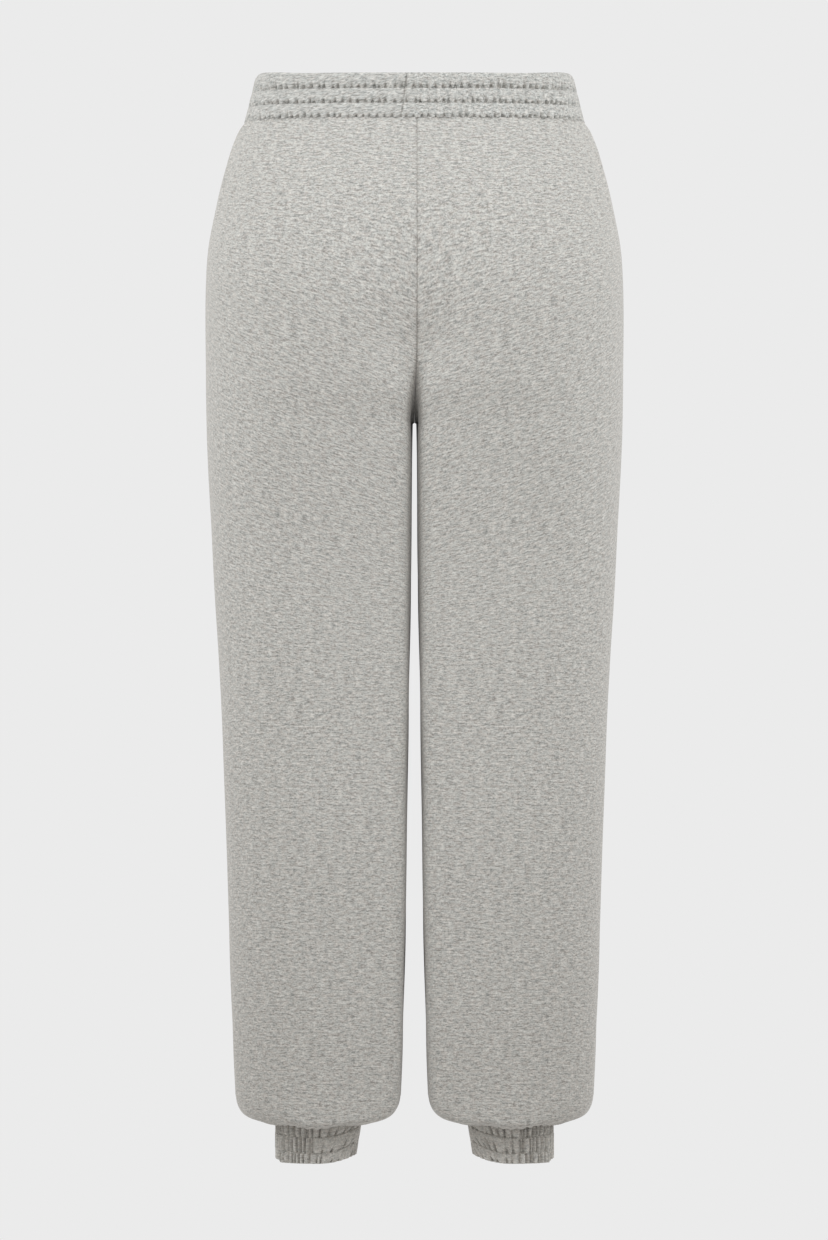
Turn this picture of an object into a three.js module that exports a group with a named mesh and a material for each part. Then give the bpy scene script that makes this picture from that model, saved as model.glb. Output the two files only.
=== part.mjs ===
// Jogger sweatpants with an elastic waistband and elastic ankle cuffs, held open in the round as when worn.
//
// Millimetres, +Z up. The origin is the middle of the waist opening, half way up the waistband.
// The wearer faces +Y, so the back of the garment faces -Y, and +X is the wearer's right.
//
// Seven sewn pieces: the waistband, a back and a front panel for each leg, and the two cuffs. Each is one
// strip of cloth with a real wall. The strips stand SEAM_GAP apart where they are sewn to each other.

import * as THREE from "three";

const SEAM_GAP = 0.3;
const CLOTH = 1.6; // brushed sweatshirt jersey
const CASING = 2.4; // two layers of the jersey and an elastic tape, where a channel is stitched down

const WAISTBAND_HEIGHT = 41;
const WAIST_TOP = WAISTBAND_HEIGHT / 2;
const WAIST_SEAM = -WAISTBAND_HEIGHT / 2;
const WAIST_CHANNELS = 3;
const WAIST_JOIN = 9; // the waistband's own join lies this far to the wearer's left of the back seam

const CROTCH = -298; // height of the point where the four panels meet
const CROTCH_ARC = 72; // height over which the centre seams curve under the wearer
const CROTCH_CURVE = 0.62; // half of an exponent: 0.5 makes that curve an ellipse, and more makes it pointed
const HEM_ROLL = -917; // where the leg starts to roll in over its cuff

const CUFF = { x: 89.6, y: -8, halfWidth: 38, halfDepth: 37, top: -936 };
const CUFF_HEIGHT = 44;
const CUFF_CLEARANCE = 0.6; // round the cuff, where the hem's facets are long
const CUFF_INNER_LIFT = 9.5; // the cuff's lower edge rises towards the other leg

const WAIST_GATHERS = 100;
const CUFF_GATHERS = 40;
const GATHER_POINTS = 3; // two on the puff and one in the crease

const INNER_COLUMNS = 8; // from the centre seam or inseam to the middle of a panel
const OUTER_COLUMNS = 10; // from there to the side seam
const OUTLINE_STEPS = 120;

// The garment's half outline: half width at the side seam, depth behind and before the origin, how far the
// fullest line of the seat and thigh lies from the middle, and half the gap between the legs.
const OUTLINE = [
  { z: 20.5, side: 143.8, back: 99, front: 96, lobe: 26, gap: 0 },
  { z: 0, side: 150.3, back: 102, front: 99, lobe: 28, gap: 0 },
  { z: -20.5, side: 156.5, back: 107, front: 102, lobe: 32, gap: 0 },
  { z: -30, side: 162, back: 112, front: 105, lobe: 36, gap: 0 },
  { z: -50, side: 170, back: 120, front: 109, lobe: 44, gap: 0 },
  { z: -75, side: 177.5, back: 129, front: 112, lobe: 54, gap: 0 },
  { z: -105, side: 184, back: 137, front: 114, lobe: 63, gap: 0 },
  { z: -140, side: 190, back: 143, front: 114, lobe: 71, gap: 0 },
  { z: -180, side: 192.2, back: 145, front: 113, lobe: 77, gap: 0 },
  { z: -260, side: 192.3, back: 136, front: 108, lobe: 87, gap: 0 },
  { z: -298, side: 191.6, back: 127.5, front: 103.5, lobe: 93, gap: 1.5 },
  { z: -318, side: 191.2, back: 124, front: 101, lobe: 95, gap: 2.2 },
  { z: -350, side: 189.8, back: 118, front: 98, lobe: 96, gap: 2.5 },
  { z: -430, side: 185.5, back: 106, front: 90, lobe: 94, gap: 3.4 },
  { z: -570, side: 177.8, back: 94, front: 79, lobe: 92, gap: 5.7 },
  { z: -720, side: 172.2, back: 87, front: 70, lobe: 90, gap: 7.9 },
  { z: -868, side: 167.4, back: 81, front: 64, lobe: 89, gap: 11 },
  { z: -917, side: 164.7, back: 79, front: 62, lobe: 89, gap: 13 },
];

// How far the centre seam lies in from the fullest line of the seat or the belly, above the crotch's arc.
const SEAM_DIP = [
  { z: -20.5, back: 0.1, front: 0.1 },
  { z: -80, back: 1, front: 0.2 },
  { z: -140, back: 4, front: 1 },
  { z: -190, back: 9, front: 3 },
  { z: CROTCH + CROTCH_ARC, back: 16, front: 9 },
];

// Squareness of a section, on its half towards the side seam and on its half towards the other leg: 2 is an
// ellipse, and more is boxier.
const SQUARENESS = [
  { z: 20.5, outer: 2.6, inner: 2.1 },
  { z: -120, outer: 2.45, inner: 2.1 },
  { z: -226, outer: 2.3, inner: 2.4 },
  { z: -298, outer: 2.25, inner: 3.6 },
  { z: -350, outer: 2.2, inner: 4.4 },
  { z: -420, outer: 2.2, inner: 4.7 },
  { z: -917, outer: 2.15, inner: 4.7 },
];
const CUFF_SQUARENESS = 2.1;

// The hem rolls in from the leg (0) to the cuff (1), down over the cuff and up again to the cuff's seam.
const HEM_ROWS = [
  { share: 0.05, drop: 10 },
  { share: 0.16, drop: 18 },
  { share: 0.34, drop: 23.2 },
  { share: 0.62, drop: 26.7 },
  { share: 0.88, drop: 28.5 },
  { share: 1, drop: 20 },
];

// Soft folds that fall from the gathered waist seam: their place from the centre seam (0) to the side seam
// (1), how far down they reach, how deep they are and how wide.
const WAIST_FOLDS = [
  { at: 0.3, length: 70, depth: 1.6, width: 12 },
  { at: 0.5, length: 95, depth: 2.4, width: 12 },
  { at: 0.7, length: 80, depth: 2.6, width: 13 },
  { at: 0.88, length: 130, depth: 2.8, width: 14 },
];
const FOLD_RISE = 16; // a fold reaches its depth this far below the seam

// A channel of the waistband from its upper to its lower stitch line: how far the cloth stands out and how
// deep the gathers' creases are. The band's top edge is folded over, with no stitches in it.
const WAIST_PUFF = [
  { at: 0.6, out: 1.9, crease: 0.8 },
  { at: 1, out: 0, crease: 0.9 },
];
const WAIST_FOLD_OVER = [
  { below: 0, out: -1.3, crease: 0.2 },
  { below: 1.6, out: 1, crease: 0.5 },
];

// The cuff's rows from its seam down. The first is plain, because the leg's hem lies against it.
const CUFF_ROWS = [
  { below: 0, out: 0, crease: 0 },
  { below: 12, out: 1.6, crease: 1.2 },
  { below: 19.5, out: 0, crease: 0.8 },
  { below: 28, out: 1.8, crease: 1.3 },
  { below: 34.5, out: 0, crease: 0.9 },
  { below: 40, out: 1.4, crease: 1.1 },
  { below: CUFF_HEIGHT, out: 0.2, crease: 0.7 },
];

const BACK = -1;
const FRONT = 1;

const { clamp, degToRad, lerp, smoothstep } = THREE.MathUtils;

// One column of a table at height z, on a smooth curve through its rows, which run downwards.
function columnAt(rows, column, z) {
  const last = rows.length - 1;
  const height = clamp(z, rows[last].z, rows[0].z);
  let i = 0;
  while (i < last - 1 && height < rows[i + 1].z) i += 1;
  const slope = (n) => {
    const above = rows[Math.max(n - 1, 0)];
    const below = rows[Math.min(n + 1, last)];
    return (below[column] - above[column]) / (below.z - above.z);
  };
  const [from, to] = [rows[i], rows[i + 1]];
  const span = to.z - from.z;
  const t = (height - from.z) / span;
  return (
    from[column] * (1 + 2 * t) * (1 - t) ** 2 +
    slope(i) * span * t * (1 - t) ** 2 +
    to[column] * t * t * (3 - 2 * t) +
    slope(i + 1) * span * t * t * (t - 1)
  );
}

// The point of a superellipse's quarter at an angle, as a pair of shares from (0, 1) to (1, 0).
function quarter(angle, squareness) {
  return [Math.sin(angle) ** (2 / squareness), Math.cos(angle) ** (2 / squareness)];
}

// Points spread evenly along a polyline. Its ends are held back by trim, and warp moves the shares along it.
function evenPoints(line, count, [startTrim, endTrim], warp = (share) => share) {
  const along = [0];
  for (let i = 1; i < line.length; i += 1) along.push(along[i - 1] + line[i].distanceTo(line[i - 1]));
  const length = along[along.length - 1] - startTrim - endTrim;
  let k = 1;
  return Array.from({ length: count + 1 }, (_, n) => {
    const goal = startTrim + length * warp(n / count);
    while (k < line.length - 1 && along[k] < goal) k += 1;
    return line[k - 1].clone().lerp(line[k], (goal - along[k - 1]) / (along[k] - along[k - 1]));
  });
}

// Draws the shares of an inner half together near its middle, where the leg turns towards the other leg.
function nearCorner(share) {
  return share + 0.055 * Math.sin(2 * Math.PI * share);
}

// A panel's row of points along its outline. Its columns are closer on the outer half than on the inner half.
function panelRow(line, [startTrim, endTrim]) {
  const middle = (line[0].x + line.at(-1).x) / 2;
  const split = line.findIndex((point) => point.x > middle);
  const inner = evenPoints(line.slice(0, split + 1), INNER_COLUMNS, [startTrim, 0], nearCorner);
  return inner.concat(evenPoints(line.slice(split), OUTER_COLUMNS, [0, endTrim]).slice(1));
}

// The y of the centre seam at height z: it follows the seat or the belly, then curves under to the crotch.
function centreSeam(z, facing) {
  const side = facing === BACK ? "back" : "front";
  const arcTop = CROTCH + CROTCH_ARC;
  const above = Math.max(z, arcTop);
  const onBody = facing * (columnAt(OUTLINE, side, above) - columnAt(SEAM_DIP, side, above));
  if (z >= arcTop) return onBody;
  const middle = seamLine(z);
  const drop = clamp((arcTop - z) / CROTCH_ARC, 0, 1);
  const reach = Math.abs(onBody - middle) * (1 - drop * drop) ** CROTCH_CURVE;
  return middle + facing * Math.max(reach, SEAM_GAP / 2);
}

// The y of the side seam and of the inseam at height z.
function seamLine(z) {
  return (columnAt(OUTLINE, "front", z) - columnAt(OUTLINE, "back", z)) / 2;
}

// The right half of the section at height z, on one face: from the centre seam or inseam to the side seam.
// The leg is a rounded tube. Above the crotch the tubes run into each other, and each is cut off at the seam.
function halfSection(z, facing) {
  const fullest = facing * columnAt(OUTLINE, facing === BACK ? "back" : "front", z);
  const lobe = columnAt(OUTLINE, "lobe", z);
  const side = columnAt(OUTLINE, "side", z);
  const middle = seamLine(z);
  const inner = columnAt(SQUARENESS, "inner", z);
  const outer = columnAt(SQUARENESS, "outer", z);
  const split = z < CROTCH;
  const seamShare = split ? 0 : (centreSeam(z, facing) - middle) / (fullest - middle);
  const width = lobe - (split ? columnAt(OUTLINE, "gap", z) : SEAM_GAP / 2);
  const cut = (1 - seamShare ** inner) ** (1 / inner);
  const cutAngle = Math.asin(cut ** (inner / 2));
  const line = [];
  for (let i = 0; i <= OUTLINE_STEPS; i += 1) {
    const [across, along] = quarter(cutAngle * (1 - i / OUTLINE_STEPS), inner);
    line.push(new THREE.Vector3(lobe - (width / cut) * across, lerp(middle, fullest, along), z));
  }
  for (let i = 1; i <= OUTLINE_STEPS; i += 1) {
    const [across, along] = quarter((Math.PI / 2) * (i / OUTLINE_STEPS), outer);
    line.push(new THREE.Vector3(lerp(lobe, side, across), lerp(middle, fullest, along), z));
  }
  return line;
}

// One face of the right cuff's outline, from the inseam to the outer side, grown outwards by margin.
function halfCuff(facing, margin = 0) {
  return Array.from({ length: OUTLINE_STEPS + 1 }, (_, i) => {
    const angle = Math.PI * (i / OUTLINE_STEPS - 0.5);
    const [x, y] = quarter(Math.abs(angle), CUFF_SQUARENESS);
    return new THREE.Vector3(
      CUFF.x + Math.sign(angle) * x * (CUFF.halfWidth + margin),
      CUFF.y + facing * y * (CUFF.halfDepth + margin),
      CUFF.top,
    );
  });
}

// The share of a fold's depth at a distance below the waist seam.
function foldShare(below, length) {
  return smoothstep(below, -FOLD_RISE / 2, FOLD_RISE) * (1 - smoothstep(below, 0.25 * length, length));
}

// Pushes the points of a panel's row in where the soft folds fall.
function addFolds(row, below, facing) {
  const width = row.reduce((sum, p, i) => sum + (i ? p.distanceTo(row[i - 1]) : 0), 0);
  const shape = row.map((p) => p.clone());
  row.forEach((point, i) => {
    const share = i / (row.length - 1);
    const depth = WAIST_FOLDS.reduce((sum, fold) => {
      const off = ((share - fold.at) * width) / fold.width;
      return sum + fold.depth * foldShare(below, fold.length) * Math.exp(-off * off);
    }, 0);
    const along = shape[Math.min(i + 1, row.length - 1)].clone().sub(shape[Math.max(i - 1, 0)]).normalize();
    point.x += facing * along.y * depth;
    point.y -= facing * along.x * depth;
  });
  return row;
}

// Heights of a panel's rows from the waist seam to the start of the hem's roll: closer near the waist, where
// the folds are, and closer still at the crotch, where the centre seam runs almost level.
function panelHeights() {
  const heights = [WAIST_SEAM - SEAM_GAP, -34, -52, -76, -105, -140, -180];
  for (let angle = 0; angle <= 90; angle += 18) {
    heights.push(CROTCH + CROTCH_ARC * (1 - Math.sin(degToRad(angle))));
  }
  return heights.concat([CROTCH - 3, -318, -350, -420, -520, -640, -760, -860, HEM_ROLL]);
}

// The outer points of a right panel. Below the last section the hem rolls in and up to the cuff's seam.
function panelFace(facing) {
  const half = SEAM_GAP / 2;
  const rows = panelHeights().map((z) => {
    const trims = [z < CROTCH ? half : 0, half];
    return addFolds(panelRow(halfSection(z, facing), trims), WAIST_SEAM - z, facing);
  });
  const leg = rows[rows.length - 1];
  const cuff = panelRow(halfCuff(facing, CUFF_CLEARANCE), [half, half]);
  for (const { share, drop } of HEM_ROWS) {
    rows.push(leg.map((point, i) => point.clone().lerp(cuff[i], share).setZ(HEM_ROLL - drop)));
  }
  return rows;
}

// The same points moved in by the wall's thickness, along the surface's own normals.
function insideOf(rows, thickness, facing) {
  const at = (r, c) => rows[clamp(r, 0, rows.length - 1)][clamp(c, 0, rows[0].length - 1)];
  return rows.map((row, r) =>
    row.map((point, c) => {
      const across = at(r, c + 1).clone().sub(at(r, c - 1));
      const down = at(r + 1, c).clone().sub(at(r - 1, c));
      const normal = down.cross(across).normalize().multiplyScalar(-facing * thickness);
      return point.clone().sub(normal);
    }),
  );
}

// Keeps a right panel's inner edges on their own side of the centre seam, the inseam and the side seam.
function holdAtSeams(inner, outer) {
  inner.forEach((row, r) => {
    for (const c of [0, row.length - 1]) {
      const edge = outer[r][c];
      if (c === 0 && edge.z >= CROTCH) row[c].x = Math.max(row[c].x, edge.x);
      else row[c].y = edge.y;
    }
  });
  return inner;
}

// Widths of gathers vary a little round a band, as an elastic tape pulls them up.
function gatherWarp(share) {
  return share + 0.0021 * Math.sin(share * 2 * Math.PI * 9) + 0.0034 * Math.sin(share * 2 * Math.PI * 4);
}

// How far out a point of a gathered row stands: flat-topped puffs with a narrow crease between them.
function gatherWave(step) {
  return step % GATHER_POINTS === 0 ? -1 : 0.5;
}

// Level normals of a closed row, pointing away from its middle.
function rowNormals(row) {
  const middle = new THREE.Box3().setFromPoints(row).getCenter(new THREE.Vector3());
  return row.map((point, i) => {
    const along = row[Math.min(i + 1, row.length - 1)].clone().sub(row[Math.max(i - 1, 0)]);
    const normal = new THREE.Vector3(along.y, -along.x, 0).normalize();
    return normal.dot(point.clone().sub(middle)) < 0 ? normal.negate() : normal;
  });
}

// A band of elastic channels as one strip joined end to end, with gathers outside and a plain inside.
function gatheredBand({ outline, rows, gathers, top, wall, lift = () => 0 }) {
  const trims = [SEAM_GAP / 2, SEAM_GAP / 2];
  const place = (points, { below, out, crease }) => {
    const normals = rowNormals(points);
    return points.map((point, i) => {
      const away = out + crease * gatherWave(i);
      const raised = point.clone().addScaledVector(normals[i], away);
      return raised.setZ(top - below + lift(point, below));
    });
  };
  const outer = rows.map((row) =>
    place(evenPoints(outline(top - row.below), gathers * GATHER_POINTS, trims, gatherWarp), row),
  );
  const inner = [rows[0], rows[rows.length - 1]].map((row) => {
    const points = evenPoints(outline(top - row.below), gathers, trims, gatherWarp);
    const normals = rowNormals(points);
    return points.map((point, i) =>
      point.clone().addScaledVector(normals[i], -wall).setZ(top - row.below + lift(point, row.below)),
    );
  });
  return stripWall(outer, inner);
}

// The waist outline at height z, once round from the waistband's join.
function waistLoop(z) {
  const back = halfSection(z, BACK);
  const front = halfSection(z, FRONT).reverse();
  const right = back.concat(front.slice(1));
  const left = right.map((p) => new THREE.Vector3(-p.x, p.y, p.z)).reverse();
  const loop = right.concat(left.slice(1));
  const join = loop.findIndex((p, i) => i > loop.length / 2 && p.x > -WAIST_JOIN && p.y < 0);
  return [...loop.slice(join), ...loop.slice(1, join + 1)];
}

function waistbandGeometry() {
  const channel = WAISTBAND_HEIGHT / WAIST_CHANNELS;
  const rows = [...WAIST_FOLD_OVER];
  for (let n = 0; n < WAIST_CHANNELS; n += 1) {
    for (const puff of WAIST_PUFF) rows.push({ ...puff, below: (n + puff.at) * channel });
  }
  return gatheredBand({ outline: waistLoop, rows, gathers: WAIST_GATHERS, top: WAIST_TOP, wall: CASING });
}

function cuffGeometry() {
  const loop = halfCuff(BACK).concat(halfCuff(FRONT).reverse().slice(1));
  const lift = (point, below) => {
    const inward = clamp((CUFF.x - point.x) / CUFF.halfWidth, 0, 1);
    return (CUFF_INNER_LIFT * inward * inward * below) / CUFF_HEIGHT;
  };
  return gatheredBand({
    outline: () => loop, rows: CUFF_ROWS, gathers: CUFF_GATHERS, top: CUFF.top, wall: CASING, lift,
  });
}

function panelGeometry(facing) {
  const outer = panelFace(facing);
  const inner = holdAtSeams(insideOf(outer, CLOTH, facing), outer);
  return stripWall(outer, inner);
}

// A closed wall between two grids of points. Their edges may have different numbers of points.
function stripWall(outer, inner) {
  const points = [...outer, ...inner].flat();
  const numbered = (rows, start) => rows.map((row, r) => row.map((_, c) => start + r * row.length + c));
  const near = (a, b, c, d) => points[a].distanceTo(points[b]) < points[c].distanceTo(points[d]);
  const index = [];
  const face = (a, b, c, flipped) => index.push(...(flipped ? [a, c, b] : [a, b, c]));
  const skin = (rows, flipped) => {
    for (let r = 0; r < rows.length - 1; r += 1) {
      for (let c = 0; c < rows[r].length - 1; c += 1) {
        const [a, b, d, e] = [rows[r][c], rows[r][c + 1], rows[r + 1][c], rows[r + 1][c + 1]];
        if (near(a, e, b, d)) {
          face(a, d, e, flipped);
          face(a, e, b, flipped);
        } else {
          face(a, d, b, flipped);
          face(d, e, b, flipped);
        }
      }
    }
  };
  const rim = (a, b, flipped) => {
    let [i, j] = [0, 0];
    while (i < a.length - 1 || j < b.length - 1) {
      if ((i + 1) * (b.length - 1) <= (j + 1) * (a.length - 1)) {
        face(a[i], a[i + 1], b[j], flipped);
        i += 1;
      } else {
        face(a[i], b[j + 1], b[j], flipped);
        j += 1;
      }
    }
  };
  const [out, back] = [numbered(outer, 0), numbered(inner, outer.flat().length)];
  const column = (rows, c) => rows.map((row) => row.at(c));
  skin(out, false);
  skin(back, true);
  rim(out[0], back[0], false);
  rim(out.at(-1), back.at(-1), true);
  rim(column(out, 0), column(back, 0), true);
  rim(column(out, -1), column(back, -1), false);
  return facingOut(points.flatMap((point) => point.toArray()), index);
}

// A geometry whose triangles face outwards, whichever way round its points were given.
function facingOut(positions, index) {
  const corner = (i) => new THREE.Vector3().fromArray(positions, 3 * index[i]);
  let volume = 0;
  for (let i = 0; i < index.length; i += 3) volume += corner(i).dot(corner(i + 1).cross(corner(i + 2)));
  if (volume < 0) index.reverse();
  const geometry = new THREE.BufferGeometry();
  geometry.setAttribute("position", new THREE.Float32BufferAttribute(positions, 3));
  geometry.setIndex(index);
  geometry.computeVertexNormals();
  return geometry;
}

// The wearer's left piece, from the right one.
function mirrored(geometry) {
  const positions = Array.from(geometry.getAttribute("position").array, (v, i) => (i % 3 ? v : -v));
  return facingOut(positions, Array.from(geometry.getIndex().array));
}

const marl = { roughness: 0.95, metalness: 0 };
const legCloth = new THREE.MeshStandardMaterial({ ...marl, color: 0xbab8b3 });
const waistCloth = new THREE.MeshStandardMaterial({ ...marl, color: 0xbbbab6 });
const cuffCloth = new THREE.MeshStandardMaterial({ ...marl, color: 0xa9a6a0 });

function piece(name, geometry, material) {
  const mesh = new THREE.Mesh(geometry, material);
  mesh.name = name;
  return mesh;
}

const sweatpants = new THREE.Group();
sweatpants.name = "jogger_sweatpants";
sweatpants.add(piece("waistband", waistbandGeometry(), waistCloth));
for (const [face, facing] of [["back", BACK], ["front", FRONT]]) {
  const geometry = panelGeometry(facing);
  sweatpants.add(piece(`${face}_panel_right`, geometry, legCloth));
  sweatpants.add(piece(`${face}_panel_left`, mirrored(geometry), legCloth));
}
const cuff = cuffGeometry();
sweatpants.add(piece("cuff_right", cuff, cuffCloth));
sweatpants.add(piece("cuff_left", mirrored(cuff), cuffCloth));

export default sweatpants;
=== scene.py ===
"""Heather grey jogger sweatpants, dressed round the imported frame.

Metres, +Z up. The wearer faces +Y, so the back of the garment faces the camera, which stands at -Y.
The origin is the middle of the waist opening, half way up the waistband.
"""

import logging
import math
from dataclasses import dataclass, field
from enum import Enum
from typing import Any, Sequence

import bpy
import numpy as np
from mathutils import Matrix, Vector


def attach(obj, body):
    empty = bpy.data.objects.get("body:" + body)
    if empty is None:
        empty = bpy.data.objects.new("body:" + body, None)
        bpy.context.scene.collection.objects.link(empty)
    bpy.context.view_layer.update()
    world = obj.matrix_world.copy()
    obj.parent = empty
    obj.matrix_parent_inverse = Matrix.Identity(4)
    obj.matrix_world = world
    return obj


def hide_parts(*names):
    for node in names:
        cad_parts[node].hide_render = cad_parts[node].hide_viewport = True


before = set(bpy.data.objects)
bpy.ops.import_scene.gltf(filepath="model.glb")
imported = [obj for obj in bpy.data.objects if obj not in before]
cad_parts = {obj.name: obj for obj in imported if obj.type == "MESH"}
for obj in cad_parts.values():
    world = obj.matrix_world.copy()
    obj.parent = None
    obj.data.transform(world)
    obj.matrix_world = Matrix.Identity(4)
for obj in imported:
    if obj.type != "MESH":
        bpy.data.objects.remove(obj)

LOG = logging.getLogger("sweatpants")
MM = 0.001
UV_NAME = "cloth"


class Face(Enum):
    """The two faces of the garment. The value is the sign of y on that face."""

    BACK = -1
    FRONT = 1


class Side(Enum):
    """The wearer's sides. The value is the sign of x on that side."""

    RIGHT = 1
    LEFT = -1


def smooth(low: float, high: float, value: Any) -> Any:
    """A soft step from 0 at low to 1 at high.

    Args:
        low: where the step starts.
        high: where it ends.
        value: a number or an array.

    Returns:
        The step's height, in the shape of value.
    """
    t = np.clip((value - low) / (high - low), 0.0, 1.0)
    return t * t * (3 - 2 * t)


def bell(offset: Any, width: float) -> Any:
    """A soft ridge, 1 at offset 0 and near 0 beyond one and a half widths."""
    return np.exp(-((offset / width) ** 2))


def valley(offset: Any, width: float) -> Any:
    """A sharp crease between two round puffs, 1 at offset 0 and 0 beyond the width."""
    return (1 - np.clip(np.abs(offset) / width, 0.0, 1.0)) ** 2


@dataclass(frozen=True)
class Section:
    """One level section of the garment's half outline, in metres."""

    z: float
    side: float
    back: float
    front: float
    lobe: float
    gap: float = 0.0


@dataclass(frozen=True)
class Dip:
    """How far the centre seam lies in from the fullest line of the seat and of the belly."""

    z: float
    back: float
    front: float


@dataclass(frozen=True)
class Shape:
    """How square a section's outer and inner halves are: 2 is an ellipse, and more is boxier."""

    z: float
    outer: float
    inner: float


def column(rows: Sequence[Any], name: str, z: np.ndarray) -> np.ndarray:
    """One column of a table of sections at heights z, on a smooth curve through its rows.

    Args:
        rows: the table, from its highest row down.
        name: the column's name.
        z: heights.

    Returns:
        The column's value at each height.
    """
    at = np.array([row.z for row in rows])
    values = np.array([getattr(row, name) for row in rows])
    low, high = np.r_[0, np.arange(len(at) - 1)], np.r_[np.arange(1, len(at)), len(at) - 1]
    slopes = (values[high] - values[low]) / (at[high] - at[low])
    height = np.clip(z, at[-1], at[0])
    i = np.clip(np.searchsorted(-at, -height, side="right") - 1, 0, len(at) - 2)
    span = at[i + 1] - at[i]
    t = (height - at[i]) / span
    return (
        values[i] * (1 + 2 * t) * (1 - t) ** 2
        + slopes[i] * span * t * (1 - t) ** 2
        + values[i + 1] * t * t * (3 - 2 * t)
        + slopes[i + 1] * span * t * t * (t - 1)
    )


def quarter(angle: Any, squareness: Any) -> tuple[Any, Any]:
    """The point of a superellipse's quarter at an angle, as shares from (0, 1) to (1, 0).

    Args:
        angle: from 0 to a quarter turn.
        squareness: 2 for an ellipse, more for a boxier curve.

    Returns:
        The share across and the share along.
    """
    power = 2 / squareness
    return np.sin(angle) ** power, np.clip(np.cos(angle), 0, 1) ** power


def resample(line: np.ndarray, shares: np.ndarray, trims: tuple[float, float] = (0.0, 0.0)) -> np.ndarray:
    """Points at given shares of a polyline's length.

    Args:
        line: the polyline's points, one a row.
        shares: shares of its length, from 0 to 1.
        trims: lengths held back at its start and its end.

    Returns:
        One point for each share.
    """
    steps = np.linalg.norm(np.diff(line, axis=0), axis=1)
    along = np.r_[0, np.cumsum(steps)]
    goal = trims[0] + shares * (along[-1] - trims[0] - trims[1])
    return np.stack([np.interp(goal, along, line[:, k]) for k in range(3)], axis=1)


def normals_of(grid: np.ndarray, closed: bool = False) -> np.ndarray:
    """Unit normals of a grid of points, from its rows and columns.

    Args:
        grid: points as rows by columns by 3.
        closed: whether the last column meets the first.

    Returns:
        One normal a point, on the side where rows run down and columns run to the right.
    """
    down = np.gradient(grid, axis=0)
    if closed:
        across = np.roll(grid, -1, axis=1) - np.roll(grid, 1, axis=1)
    else:
        across = np.gradient(grid, axis=1)
    normal = np.cross(across, down)
    return normal / np.maximum(np.linalg.norm(normal, axis=2, keepdims=True), 1e-12)


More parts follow.
